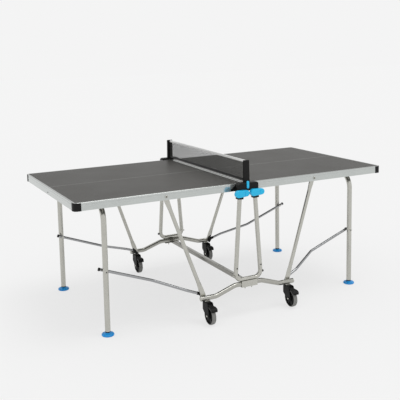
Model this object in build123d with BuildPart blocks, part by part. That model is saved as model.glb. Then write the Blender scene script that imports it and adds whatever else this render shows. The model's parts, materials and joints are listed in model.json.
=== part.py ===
from build123d import *
import os
from math import cos, radians, sin, tan

os.makedirs("parts", exist_ok=True)

# Folding ping pong table on castors, playing height up, millimetres.
# X runs along the table, Y across it, Z up. The origin is on the floor in the middle of the
# space that the table takes up: the castors trail to the near side, so the net line is at mid_y.

# Driving dimensions
table_length = 2000.0
table_width = 980.0
table_height = 760.0
rim_height = 43.0
panel_thickness = 5.0
leg_diameter = 30.0
frame_diameter = 25.0
bow_diameter = 28.0
strut_diameter = 22.0
rod_diameter = 16.0
wheel_diameter = 100.0
wheel_width = 25.0
net_height = 132.0
foot_diameter = 68.0

# Sheet, wall and clearance sizes
centre_gap = 6.0
rim_wall = 2.5
rim_lip = 10.0
cap_wall = 2.0
tube_wall = 2.0
running = 0.05
body_gap = 0.5
seat_gap = 0.2

# Positions that follow from the driving dimensions
half_length = table_length / 2
half_width = table_width / 2
rim_end = half_length - cap_wall
rim_side = half_width - cap_wall
rim_bottom = table_height - rim_height
panel_under = table_height - panel_thickness
frame_offset = 30.0
frame_y = half_width + frame_offset

bow_end_z = wheel_diameter + 40.0
bow_crown_z = bow_end_z + 40.5
bow_end_x = 305.0
bow_knee_x = 212.0
bow_crown_x = 88.0
bow_bend = 70.0

splay = 4.0
frame_top_z = table_height - 15.0
frame_top_x = 46.5
frame_base_z = bow_crown_z + bow_diameter / 2 + frame_diameter / 2
frame_base_x = frame_top_x + (frame_top_z - frame_base_z) * tan(radians(splay))
frame_bend = 38.0
stop_z = frame_base_z + 30.0
stop_radius = 3.0
stop_head = 4.0
stop_reach = frame_diameter / 2 + 2.5
head_bottom = table_height - 38.0

pivot_x = 52.0
pivot_z = table_height - 32.0
pin_radius = 5.0
slider_height = 42.0
slider_z = head_bottom - 3.0 - slider_height / 2
handle_z = table_height - 49.0
handle_hub = 20.5
handle_tip = 17.5
hub_reach = 25.5
tip_reach = 26.0
fold_travel = 420.0

strut_top_x = 487.0
strut_top_z = table_height - 25.0
strut_top_y = rim_side - rim_wall - strut_diameter / 2 - 4.5
strut_low_x = bow_end_x - 22.0
strut_low_z = bow_end_z + 13.0
strut_low_y = frame_y - bow_diameter / 2 - 6.5
lug_thickness = 7.0
lug_width = 28.0

leg_x = half_length - 182.0
leg_y = half_width - 78.0
leg_top_z = table_height - 42.0
leg_low_z = 24.0
leg_bend = 95.0
plug_flange = 4.0
plug_depth = 28.0
foot_stem = 6.0
rod_pivot_z = 353.0
rod_y = leg_y - leg_diameter / 2 - 4.0 - rod_diameter / 2
rod_low_y = strut_low_y - lug_thickness / 2 - 1.5 - rod_diameter / 2

castor_x = 270.0
castor_trail = 38.0
axle_z = wheel_diameter / 2
socket_z = bow_end_z - bow_diameter / 2 - 4.0
fork_top_z = socket_z - body_gap
stem_radius = 5.0
axle_radius = 5.0

# Reach beyond the bows to the near and far side, which puts the net line at mid_y
slider_deep = 36.0
handle_thick = 20.0
lock_reach = slider_deep / 2 + body_gap + handle_thick
pedal_reach = castor_trail + wheel_diameter / 2 + 2.0
mid_y = (pedal_reach - lock_reach) / 2

sides = (("left", -1), ("right", 1))
rows = (("near", -1), ("far", 1))


def frame_axis_x(z):
    return frame_top_x + (frame_top_z - z) * tan(radians(splay))


# Undercarriage: one bent bow per long side, joined under the net by a cross beam
for row, sy in rows:
    bow_points = [
        (-bow_end_x, bow_end_z),
        (-bow_knee_x, bow_end_z),
        (-bow_crown_x, bow_crown_z),
        (bow_crown_x, bow_crown_z),
        (bow_knee_x, bow_end_z),
        (bow_end_x, bow_end_z),
    ]
    with BuildPart() as bow:
        with BuildLine(Plane.XZ.offset(-mid_y - sy * frame_y)):
            FilletPolyline(*bow_points, radius=bow_bend)
        with BuildSketch(Plane(origin=(-bow_end_x, mid_y + sy * frame_y, bow_end_z), z_dir=(1, 0, 0))):
            Circle(bow_diameter / 2)
            Circle(bow_diameter / 2 - tube_wall, mode=Mode.SUBTRACT)
        sweep()
        with BuildSketch(Plane.XY.offset(socket_z)):
            with Locations((-castor_x, mid_y + sy * frame_y), (castor_x, mid_y + sy * frame_y)):
                Circle(bow_diameter / 2 + 1)
        extrude(amount=8)
        with BuildSketch(Plane.XY.offset(socket_z)):
            with Locations((-castor_x, mid_y + sy * frame_y), (castor_x, mid_y + sy * frame_y)):
                Circle(stem_radius + running)
        extrude(amount=bow_diameter / 2 + 2, mode=Mode.SUBTRACT)
    bow.part.label = f"{row}_bow"
    export_step(bow.part, f"parts/{row}_bow.step")

with BuildPart() as bow_caps:
    for sx in (-1, 1):
        for sy in (-1, 1):
            bow_tip = Plane(origin=(sx * bow_end_x, mid_y + sy * frame_y, bow_end_z), z_dir=(sx, 0, 0))
            with BuildSketch(bow_tip):
                Circle(bow_diameter / 2)
            extrude(amount=5)
            with BuildSketch(bow_tip):
                Circle(bow_diameter / 2 - tube_wall - seat_gap / 2)
            extrude(amount=-14)
    rounds = bow_caps.edges().filter_by(GeomType.CIRCLE)
    outer_rounds = rounds.group_by(lambda e: round(abs(e.center().X), 1))[-1]
    fillet(outer_rounds, radius=2)
bow_caps.part.label = "bow_end_caps"
export_step(bow_caps.part, "parts/bow_end_caps.step")

beam_width = 26.0
beam_height = 26.0
with BuildPart() as beam:
    with BuildSketch(Plane.XZ.offset(-mid_y)):
        with Locations((0, bow_crown_z - 2)):
            RectangleRounded(beam_width, beam_height, 5)
            RectangleRounded(beam_width - 2 * tube_wall, beam_height - 2 * tube_wall, 3, mode=Mode.SUBTRACT)
    extrude(amount=frame_y - bow_diameter / 2, both=True)
beam.part.label = "cross_beam"
export_step(beam.part, "parts/cross_beam.step")

# Centre frames: U-shaped tubes with splayed legs that guide the sliders
catch_radius = 4.5
for row, sy in rows:
    frame_points = [
        (-frame_top_x, frame_top_z),
        (-frame_base_x, frame_base_z),
        (frame_base_x, frame_base_z),
        (frame_top_x, frame_top_z),
    ]
    with BuildPart() as centre_frame:
        with BuildLine(Plane.XZ.offset(-mid_y - sy * frame_y)):
            FilletPolyline(*frame_points, radius=frame_bend)
        tilt = radians(splay)
        start = Plane(
            origin=(-frame_top_x, mid_y + sy * frame_y, frame_top_z),
            x_dir=(0, 1, 0),
            z_dir=(-sin(tilt), 0, -cos(tilt)),
        )
        with BuildSketch(start):
            Circle(frame_diameter / 2)
            Circle(frame_diameter / 2 - tube_wall, mode=Mode.SUBTRACT)
        sweep()
        # Catch holes for the locks, one on each leg at the lower end of the travel
        hole_z = slider_z - fold_travel * cos(tilt)
        with BuildSketch(Plane.XZ.offset(-mid_y - sy * frame_y)):
            with Locations((-frame_axis_x(hole_z), hole_z), (frame_axis_x(hole_z), hole_z)):
                Circle(catch_radius)
        extrude(amount=-sy * frame_diameter, mode=Mode.SUBTRACT)
        with BuildSketch(Plane.YZ):
            with Locations((mid_y + sy * frame_y, stop_z)):
                Circle(stop_radius + seat_gap / 2)
        extrude(amount=2 * frame_base_x, both=True, mode=Mode.SUBTRACT)
    centre_frame.part.label = f"{row}_centre_frame"
    export_step(centre_frame.part, f"parts/{row}_centre_frame.step")

# Clamp brackets that hold each centre frame on the crown of its bow, with their bolts,
# and the cross bolts that stop the sliders at the lower end of the legs
clamp_length = 104.0
clamp_low = bow_crown_z - bow_diameter / 2
clamp_top = bow_crown_z + bow_diameter / 2 + 6.0
clamp_face = frame_y + bow_diameter / 2
clamp_lip = frame_y - bow_diameter / 2 + 1
with BuildPart() as fittings:
    for sy in (-1, 1):
        profile = [
            (mid_y + sy * clamp_lip, clamp_low - 2.5),
            (mid_y + sy * (clamp_face + 2.5), clamp_low - 2.5),
            (mid_y + sy * (clamp_face + 2.5), clamp_top),
            (mid_y + sy * clamp_face, clamp_top),
            (mid_y + sy * clamp_face, clamp_low),
            (mid_y + sy * clamp_lip, clamp_low),
        ]
        with BuildSketch(Plane.YZ):
            with BuildLine():
                Polyline(*profile, close=True)
            make_face()
        extrude(amount=clamp_length / 2, both=True)
        for bolt_x in (-22, 22):
            with BuildSketch(Plane.XY.offset(clamp_low - 2.5)):
                with Locations((bolt_x, mid_y + sy * frame_y)):
                    RegularPolygon(6, 6)
            extrude(amount=-5)
            with BuildSketch(Plane.XY.offset(clamp_low - 7.5)):
                with Locations((bolt_x, mid_y + sy * frame_y)):
                    Circle(3)
            extrude(amount=-8)
        for sx in (-1, 1):
            stop_x = sx * frame_axis_x(stop_z)
            stop_plane = Plane(origin=(stop_x, mid_y + sy * frame_y, stop_z), z_dir=(sx, 0, 0))
            with BuildSketch(stop_plane.offset(-stop_reach)):
                Circle(stop_radius)
            extrude(amount=2 * stop_reach + stop_head)
            with BuildSketch(stop_plane.offset(stop_reach)):
                RegularPolygon(stop_radius + 2, 6)
            extrude(amount=stop_head)
fittings.part.label = "frame_fittings"
export_step(fittings.part, "parts/frame_fittings.step")

# Head brackets: moulded blocks over the tops of the centre frames that carry the net posts
head_inner = rim_side + cap_wall + 11.0
head_outer = frame_y + 18.0
head_top = table_height + 8.0
head_half = 64.0
head_round = 14.0
post_width = 40.0
post_depth = 16.0
post_top = table_height + net_height
for row, sy in rows:
    with BuildPart() as head:
        with BuildSketch(Plane.XZ.offset(-mid_y - sy * head_inner)) as head_face:
            with Locations((0, (head_bottom + head_top) / 2)):
                Rectangle(2 * head_half, head_top - head_bottom)
            fillet(head_face.vertices().group_by(Axis.Y)[-1], radius=head_round)
        extrude(amount=-sy * (head_outer - head_inner))
        chamfer(head.faces().sort_by(Axis.Y)[-1 if sy > 0 else 0].edges(), length=2)
        for sx in (-1, 1):
            socket = Plane(
                origin=(sx * frame_top_x, mid_y + sy * frame_y, frame_top_z),
                z_dir=(sx * sin(radians(splay)), 0, -cos(radians(splay))),
            )
            with BuildSketch(socket):
                Circle(frame_diameter / 2 + seat_gap / 2)
            extrude(amount=40, mode=Mode.SUBTRACT)
    head.part.label = f"{row}_head_bracket"
    export_step(head.part, f"parts/{row}_head_bracket.step")

with BuildPart() as posts:
    for sy in (-1, 1):
        with BuildSketch(Plane.XY.offset(head_top)):
            with Locations((0, mid_y + sy * (head_inner + post_depth / 2))):
                RectangleRounded(post_width, post_depth, 5)
        extrude(amount=post_top - head_top, taper=0.8)
    fillet(posts.faces().group_by(Axis.Z)[-1].edges(), radius=2.5)
posts.part.label = "net_posts"
export_step(posts.part, "parts/net_posts.step")

cleat_x = -8.0
cleat_length = 43.0
with BuildPart() as clip:
    with BuildSketch(Plane.XZ.offset(head_outer - mid_y)):
        with Locations((cleat_x, head_top + 11 - cleat_length / 2)):
            SlotOverall(cleat_length, 15, rotation=90)
    extrude(amount=6)
    fillet(clip.faces().sort_by(Axis.Y)[0].edges(), radius=2)
clip.part.label = "net_cleat"
export_step(clip.part, "parts/net_cleat.step")

# Net with its two tapes, held between the posts
net_end = head_inner - seat_gap
net_top = table_height + net_height
net_low = table_height + 11.0
tape_top = 14.0
tape_low = 13.0
net_columns = 33
net_rows = 4
net_band = net_top - tape_top - net_low - tape_low
with BuildPart() as net:
    with BuildSketch(Plane.YZ):
        with Locations((mid_y, net_low + tape_low + net_band / 2)):
            Rectangle(2 * net_end, net_band)
        with Locations((mid_y, net_low + tape_low + net_band / 2)):
            with GridLocations(2 * net_end / net_columns, net_band / net_rows, net_columns, net_rows):
                Rectangle(
                    2 * net_end / net_columns - 4,
                    net_band / net_rows - 4,
                    mode=Mode.SUBTRACT,
                )
    extrude(amount=1, both=True)
net.part.label = "net_mesh"
export_step(net.part, "parts/net_mesh.step")

with BuildPart() as net_tape:
    with BuildSketch(Plane.YZ):
        with Locations((mid_y, net_top - tape_top / 2)):
            Rectangle(2 * net_end, tape_top)
    extrude(amount=2, both=True)
net_tape.part.label = "net_top_tape"
export_step(net_tape.part, "parts/net_top_tape.step")

with BuildPart() as net_hem:
    with BuildSketch(Plane.YZ):
        with Locations((mid_y, net_low + tape_low / 2)):
            Rectangle(2 * net_end, tape_low)
    extrude(amount=2, both=True)
net_hem.part.label = "net_bottom_tape"
export_step(net_hem.part, "parts/net_bottom_tape.step")

# Two half tops, each a thin board in a folded sheet rim with cross rails below
rim_start = centre_gap / 2
rim_corner = 22.0
cap_long = 40.0
cap_short = 36.0
groove_drop = 12.0
groove_height = 2.0
groove_depth = 1.0
plate_end = 90.0
plate_slant = 34.0
rail_width = 40.0
rail_height = 14.0
rail_first = 300.0
rail_second = 640.0
rail_spots = (rail_first, rail_second, leg_x)
clip_y = 230.0
for side, sx in sides:
    board_length = rim_end - rim_start - 2 * rim_lip - 2 * seat_gap
    board_width = 2 * (rim_side - rim_lip - seat_gap)
    middle = sx * (rim_start + rim_end) / 2
    with BuildPart() as board:
        with BuildSketch(Plane.XY.offset(panel_under)):
            with Locations((middle, mid_y)):
                RectangleRounded(board_length, board_width, 6)
        extrude(amount=panel_thickness)
    board.part.label = f"{side}_top_board"
    export_step(board.part, f"parts/{side}_top_board.step")

    with BuildPart() as rim:
        with BuildSketch(Plane.XY.offset(rim_bottom)) as rim_plan:
            with Locations((middle, mid_y)):
                Rectangle(rim_end - rim_start, 2 * rim_side)
            outer_corners = rim_plan.vertices().sort_by(lambda v: sx * v.X)[2:]
            fillet(outer_corners, radius=rim_corner)
        extrude(amount=rim_height)
        chamfer(rim.faces().sort_by(Axis.Z)[-1].edges(), length=1.2)
        with BuildSketch(Plane.XY.offset(rim_bottom)) as hollow:
            with Locations((middle, mid_y)):
                Rectangle(rim_end - rim_start - 2 * rim_wall, 2 * (rim_side - rim_wall))
            inner_corners = hollow.vertices().sort_by(lambda v: sx * v.X)[2:]
            fillet(inner_corners, radius=rim_corner - rim_wall)
        extrude(amount=rim_height - rim_wall, mode=Mode.SUBTRACT)
        with BuildSketch(Plane.XY.offset(rim_bottom)):
            with Locations((middle, mid_y)):
                RectangleRounded(board_length + 2 * seat_gap, board_width + 2 * seat_gap, 6)
        extrude(amount=rim_height, mode=Mode.SUBTRACT)
        # Pressed line round the upper edge of the rim
        with BuildSketch(Plane.XY.offset(table_height - groove_drop)) as groove:
            with Locations((middle, mid_y)):
                Rectangle(rim_end - rim_start + 2, 2 * rim_side + 2)
                Rectangle(
                    rim_end - rim_start - 2 * groove_depth,
                    2 * (rim_side - groove_depth),
                    mode=Mode.SUBTRACT,
                )
            line_corners = groove.vertices().sort_by(lambda v: sx * v.X)[4:6]
            fillet(line_corners, radius=rim_corner - groove_depth)
        extrude(amount=groove_height, mode=Mode.SUBTRACT)
        with BuildSketch(Plane.XZ.offset(-mid_y)):
            with Locations((sx * pivot_x, pivot_z)):
                Circle(pin_radius + running)
            with Locations((sx * strut_top_x, strut_top_z)):
                Circle(pin_radius + seat_gap / 2)
        extrude(amount=half_width, both=True, mode=Mode.SUBTRACT)
    rim.part.label = f"{side}_rim"
    export_step(rim.part, f"parts/{side}_rim.step")

    with BuildPart() as corners:
        for sy in (-1, 1):
            with BuildSketch(Plane.XY.offset(rim_bottom - 0.5)):
                with BuildLine():
                    outer = FilletPolyline(
                        (sx * (half_length - cap_long), mid_y + sy * half_width),
                        (sx * half_length, mid_y + sy * half_width),
                        (sx * half_length, mid_y + sy * (half_width - cap_short)),
                        radius=rim_corner + cap_wall,
                    )
                    inner = FilletPolyline(
                        (sx * (half_length - cap_long), mid_y + sy * rim_side),
                        (sx * rim_end, mid_y + sy * rim_side),
                        (sx * rim_end, mid_y + sy * (half_width - cap_short)),
                        radius=rim_corner,
                    )
                    Line(outer @ 0, inner @ 0)
                    Line(outer @ 1, inner @ 1)
                make_face()
            extrude(amount=rim_height - 0.5)
    corners.part.label = f"{side}_corner_caps"
    export_step(corners.part, f"parts/{side}_corner_caps.step")

    # Moulded plates on the inner ends of the rim, bored for the slider pins
    with BuildPart() as plates:
        for sy in (-1, 1):
            with BuildSketch(Plane.XZ.offset(-mid_y - sy * rim_side)):
                with BuildLine():
                    Polyline(
                        (sx * (rim_start + 2), rim_bottom + 1),
                        (sx * plate_end, rim_bottom + 1),
                        (sx * plate_end, rim_bottom + 9),
                        (sx * (plate_end - plate_slant), table_height - 5),
                        (sx * (rim_start + 2), table_height - 5),
                        close=True,
                    )
                make_face()
                with Locations((sx * pivot_x, pivot_z)):
                    Circle(pin_radius + running, mode=Mode.SUBTRACT)
            extrude(amount=-sy * cap_wall)
    plates.part.label = f"{side}_hinge_plates"
    export_step(plates.part, f"parts/{side}_hinge_plates.step")

    with BuildPart() as rails:
        for spot in rail_spots:
            with BuildSketch(Plane.XZ.offset(-mid_y)):
                with Locations((sx * spot, panel_under - rail_height / 2)):
                    Rectangle(rail_width, rail_height)
                with Locations((sx * spot, panel_under - rail_height / 2 + tube_wall)):
                    Rectangle(rail_width - 2 * tube_wall, rail_height, mode=Mode.SUBTRACT)
            extrude(amount=rim_side - rim_wall, both=True)
    rails.part.label = f"{side}_cross_rails"
    export_step(rails.part, f"parts/{side}_cross_rails.step")

    clip_top = panel_under - rail_height
    with BuildPart() as leg_clips:
        for sy in (-1, 1):
            with BuildSketch(Plane.XZ.offset(-mid_y - sy * clip_y)):
                with BuildLine():
                    Polyline(
                        (sx * (leg_x - 26), clip_top),
                        (sx * (leg_x + 26), clip_top),
                        (sx * (leg_x + 22), leg_top_z - leg_diameter / 2 - 5),
                        (sx * (leg_x - 22), leg_top_z - leg_diameter / 2 - 5),
                        close=True,
                    )
                make_face()
                with Locations((sx * leg_x, leg_top_z)):
                    Circle(leg_diameter / 2 + running, mode=Mode.SUBTRACT)
            extrude(amount=15, both=True)
    leg_clips.part.label = f"{side}_leg_clips"
    export_step(leg_clips.part, f"parts/{side}_leg_clips.step")

    with BuildPart() as strut_bolts:
        for sy in (-1, 1):
            with BuildSketch(Plane.XZ.offset(-mid_y - sy * rim_side)):
                with Locations((sx * strut_top_x, strut_top_z)):
                    Circle(8)
            extrude(amount=-sy * 4)
            with BuildSketch(Plane.XZ.offset(-mid_y - sy * (strut_top_y - 14))):
                with Locations((sx * strut_top_x, strut_top_z)):
                    Circle(pin_radius)
            extrude(amount=-sy * (rim_side - strut_top_y + 14))
            with BuildSketch(Plane.XZ.offset(-mid_y - sy * (strut_top_y - 14))):
                with Locations((sx * strut_top_x, strut_top_z)):
                    RegularPolygon(8, 6)
            extrude(amount=sy * 6)
    strut_bolts.part.label = f"{side}_strut_bolts"
    export_step(strut_bolts.part, f"parts/{side}_strut_bolts.step")

# Sliders: moulded collars on the centre frame legs, one near and one far per half top
slider_wide = 38.0
ear_in = half_width + 3.5
ear_out = head_inner - 1.5
handle_in = frame_y + slider_deep / 2 + body_gap
handle_bore = handle_thick - 5.0
for side, sx in sides:
    lean = radians(splay)
    with BuildPart() as sliders:
        for sy in (-1, 1):
            across = Plane(
                origin=(sx * frame_axis_x(slider_z), mid_y + sy * frame_y, slider_z),
                x_dir=(cos(lean), 0, sx * sin(lean)),
                z_dir=(-sx * sin(lean), 0, cos(lean)),
            )
            with BuildSketch(across):
                RectangleRounded(slider_wide, slider_deep, 9)
            extrude(amount=slider_height / 2, both=True)
            # Ear that reaches inward and up to the hinge of the half top
            with BuildSketch(Plane.XZ.offset(-mid_y - sy * ear_in)):
                with Locations((sx * pivot_x, slider_z - 6), (sx * pivot_x, pivot_z)):
                    Circle(12)
                make_hull()
            extrude(amount=-sy * (ear_out - ear_in))
            with BuildSketch(Plane.XZ.offset(-mid_y - sy * ear_out)):
                with Locations((sx * pivot_x, slider_z)):
                    Rectangle(22, slider_height - 12)
            extrude(amount=-sy * (frame_y - slider_deep / 2 + 4 - ear_out))
            # Hinge pin with its head inside the rim
            with BuildSketch(Plane.XZ.offset(-mid_y - sy * (ear_in + 1))):
                with Locations((sx * pivot_x, pivot_z)):
                    Circle(pin_radius)
            extrude(amount=sy * (ear_in - rim_side + rim_wall + 8))
            with BuildSketch(Plane.XZ.offset(-mid_y - sy * (rim_side - rim_wall - 3))):
                with Locations((sx * pivot_x, pivot_z)):
                    Circle(8)
            extrude(amount=sy * 4)
            # Spigot for the lock handle
            handle_x = sx * frame_axis_x(handle_z)
            with BuildSketch(Plane.XZ.offset(-mid_y - sy * (frame_y + slider_deep / 2 - 1))):
                with Locations((handle_x, handle_z)):
                    Circle(pin_radius)
            extrude(amount=-sy * (handle_bore + 1))
            with BuildSketch(across):
                Circle(frame_diameter / 2 + running)
            extrude(amount=slider_height, both=True, mode=Mode.SUBTRACT)
    sliders.part.label = f"{side}_sliders"
    export_step(sliders.part, f"parts/{side}_sliders.step")

    # Lock handles: lozenges on the sliders, the near pair pointing right and the far pair left
    for row, sy in rows:
        handle_x = sx * frame_axis_x(handle_z)
        with BuildPart() as handle:
            with BuildSketch(Plane.XZ.offset(-mid_y - sy * handle_in)):
                with Locations((handle_x + sy * hub_reach, handle_z)):
                    Circle(handle_hub)
                with Locations((handle_x - sy * tip_reach, handle_z + 1)):
                    Circle(handle_tip)
                make_hull()
            extrude(amount=-sy * handle_thick)
            fillet(handle.faces().sort_by(Axis.Y)[0 if sy < 0 else -1].edges(), radius=5)
            with BuildSketch(Plane.XZ.offset(-mid_y - sy * (handle_in + handle_thick))):
                with Locations((handle_x - sy * (pin_radius + 9), handle_z)):
                    Rectangle(2.5, 2 * handle_hub, rotation=sy * 10)
            extrude(amount=sy * 1.5, mode=Mode.SUBTRACT)
            with BuildSketch(Plane.XZ.offset(-mid_y - sy * handle_in)):
                with Locations((handle_x, handle_z)):
                    Circle(pin_radius + running)
            extrude(amount=-sy * handle_bore, mode=Mode.SUBTRACT)
        handle.part.label = f"{side}_{row}_lock_handle"
        export_step(handle.part, f"parts/{side}_{row}_lock_handle.step")

# Struts: round tubes with flattened ends, from the rim down to the bow ends
crank_start = 84.0
crank_end = 258.0
crank_step = 17.0
rod_past = 24.0
sleeve_length = 40.0
sleeve_drop = 20.0
sleeve_wall = 1.0
rod_rise = (rod_pivot_z - strut_low_z) / (leg_x - strut_low_x)


def rod_point(sx, sy, x, y):
    return Vector(sx * x, mid_y + sy * y, strut_low_z + rod_rise * (x - strut_low_x))


for side, sx in sides:
    with BuildPart() as struts:
        for sy in (-1, 1):
            top = Vector(sx * strut_top_x, mid_y + sy * strut_top_y, strut_top_z)
            low = Vector(sx * strut_low_x, mid_y + sy * strut_low_y, strut_low_z)
            run = (low - top).length
            along = (low - top).normalized()
            flat_dir = along.cross(Vector(0, 1, 0)).normalized()
            for spot, way in ((top, along), (low, along * -1)):
                with BuildSketch(Plane(origin=spot, x_dir=way, z_dir=way.cross(flat_dir))):
                    Circle(lug_width / 2)
                    with Locations((19, 0)):
                        Rectangle(38, lug_width)
                extrude(amount=lug_thickness / 2, both=True)
                with BuildSketch(Plane(origin=spot + way * 38, x_dir=flat_dir, z_dir=way)):
                    Rectangle(lug_width, lug_thickness)
                with BuildSketch(Plane(origin=spot + way * 82, x_dir=flat_dir, z_dir=way)):
                    Circle(strut_diameter / 2)
                loft()
            with BuildSketch(Plane(origin=top + along * 82, x_dir=flat_dir, z_dir=along)):
                Circle(strut_diameter / 2)
            extrude(amount=run - 164)
            with BuildSketch(Plane.XZ.offset(-mid_y - sy * (strut_top_y - 12))):
                with Locations((sx * strut_top_x, strut_top_z)):
                    Circle(pin_radius + running)
            extrude(amount=-sy * 24, mode=Mode.SUBTRACT)
    struts.part.label = f"{side}_struts"
    export_step(struts.part, f"parts/{side}_struts.step")

    # Leg frame: one tube bent to an arch, its top run turning in the clips
    with BuildPart() as leg_frame:
        with BuildLine(Plane.YZ.offset(sx * leg_x)):
            FilletPolyline(
                (mid_y - leg_y, leg_low_z),
                (mid_y - leg_y, leg_top_z),
                (mid_y + leg_y, leg_top_z),
                (mid_y + leg_y, leg_low_z),
                radius=leg_bend,
            )
        with BuildSketch(Plane(origin=(sx * leg_x, mid_y - leg_y, leg_low_z), z_dir=(0, 0, 1))):
            Circle(leg_diameter / 2)
            Circle(leg_diameter / 2 - tube_wall, mode=Mode.SUBTRACT)
        sweep()
        # Pivot bolts of the rods
        for sy in (-1, 1):
            with BuildSketch(Plane.XZ.offset(-mid_y - sy * (leg_y - leg_diameter / 2 + 1))):
                with Locations((sx * leg_x, rod_pivot_z)):
                    Circle(4)
            extrude(amount=sy * (rod_diameter + 9))
            with BuildSketch(Plane.XZ.offset(-mid_y - sy * (rod_y - rod_diameter / 2 - 1))):
                with Locations((sx * leg_x, rod_pivot_z)):
                    RegularPolygon(7, 6)
            extrude(amount=sy * 3)
    leg_frame.part.label = f"{side}_leg_frame"
    export_step(leg_frame.part, f"parts/{side}_leg_frame.step")

    with BuildPart() as plugs:
        for sy in (-1, 1):
            with BuildSketch(Plane.XY.offset(leg_low_z)):
                with Locations((sx * leg_x, mid_y + sy * leg_y)):
                    Circle(leg_diameter / 2)
            extrude(amount=-plug_flange)
            with BuildSketch(Plane.XY.offset(leg_low_z)):
                with Locations((sx * leg_x, mid_y + sy * leg_y)):
                    Circle(leg_diameter / 2 - tube_wall - seat_gap / 2)
            extrude(amount=plug_depth)
            with BuildSketch(Plane.XY.offset(leg_low_z - plug_flange)):
                with Locations((sx * leg_x, mid_y + sy * leg_y)):
                    Circle(foot_stem + running)
            extrude(amount=plug_flange + plug_depth, mode=Mode.SUBTRACT)
    plugs.part.label = f"{side}_leg_plugs"
    export_step(plugs.part, f"parts/{side}_leg_plugs.step")

    # Levelling feet: turned discs on threaded stems
    for row, sy in rows:
        with BuildPart() as foot:
            foot_base = (sx * leg_x, mid_y + sy * leg_y, 0)
            with BuildSketch(Plane(origin=foot_base, x_dir=(1, 0, 0), z_dir=(0, -1, 0))):
                with BuildLine():
                    Polyline(
                        (0, 0),
                        (foot_diameter / 2 - 2, 0),
                        (foot_diameter / 2, 2),
                        (foot_diameter / 2, 8),
                        (foot_diameter / 2 - 3, 11),
                        (16, 14),
                        (13, 17),
                        (foot_stem, 17),
                        (foot_stem, leg_low_z + plug_depth + 6),
                        (0, leg_low_z + plug_depth + 6),
                        close=True,
                    )
                make_face()
            revolve(axis=Axis(foot_base, (0, 0, 1)))
        foot.part.label = f"{side}_{row}_foot"
        export_step(foot.part, f"parts/{side}_{row}_foot.step")

    # Folding rods: thin rods from the bow ends to the legs, cranked inward past the struts
    with BuildPart() as rods:
        for sy in (-1, 1):
            low_end = rod_point(sx, sy, strut_low_x - 9, rod_low_y)
            crank = rod_point(sx, sy, strut_low_x + crank_start, rod_low_y - crank_step)
            lead = (crank - low_end).normalized()
            with BuildLine() as rod_path:
                FilletPolyline(
                    low_end + lead * sleeve_length,
                    crank,
                    rod_point(sx, sy, strut_low_x + crank_end, rod_y),
                    rod_point(sx, sy, leg_x + rod_past, rod_y),
                    radius=40,
                )
            with BuildSketch(Plane(origin=rod_path.wires()[0] @ 0, z_dir=rod_path.wires()[0] % 0)):
                Circle(rod_diameter / 2)
            sweep()
            with BuildSketch(Plane.XZ.offset(-mid_y - sy * rod_y)):
                with Locations((sx * leg_x, rod_pivot_z)):
                    Circle(4 + running)
            extrude(amount=rod_diameter, both=True, mode=Mode.SUBTRACT)
    rods.part.label = f"{side}_rods"
    export_step(rods.part, f"parts/{side}_rods.step")

    # Moulded ends of the rods: a cap past the leg and a bent sleeve at the bow
    with BuildPart() as rod_caps:
        for sy in (-1, 1):
            tip = rod_point(sx, sy, leg_x + rod_past, rod_y)
            with BuildSketch(Plane(origin=tip, z_dir=(sx, 0, rod_rise))):
                Circle(rod_diameter / 2 + 1.5)
            extrude(amount=7)
            low_end = rod_point(sx, sy, strut_low_x - 9, rod_low_y)
            crank = rod_point(sx, sy, strut_low_x + crank_start, rod_low_y - crank_step)
            lead = (crank - low_end).normalized()
            with BuildLine() as sleeve_path:
                FilletPolyline(
                    (sx * (strut_low_x - 4), mid_y + sy * rod_low_y, strut_low_z - sleeve_drop),
                    low_end + lead * (sleeve_length / 2),
                    low_end + lead * sleeve_length,
                    radius=rod_diameter / 2 + sleeve_wall + 3,
                )
            sleeve_line = sleeve_path.wires()[0]
            with BuildSketch(Plane(origin=sleeve_line @ 0, z_dir=sleeve_line % 0)):
                Circle(rod_diameter / 2 + sleeve_wall)
            sweep()
    rod_caps.part.label = f"{side}_rod_caps"
    export_step(rod_caps.part, f"parts/{side}_rod_caps.step")

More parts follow.
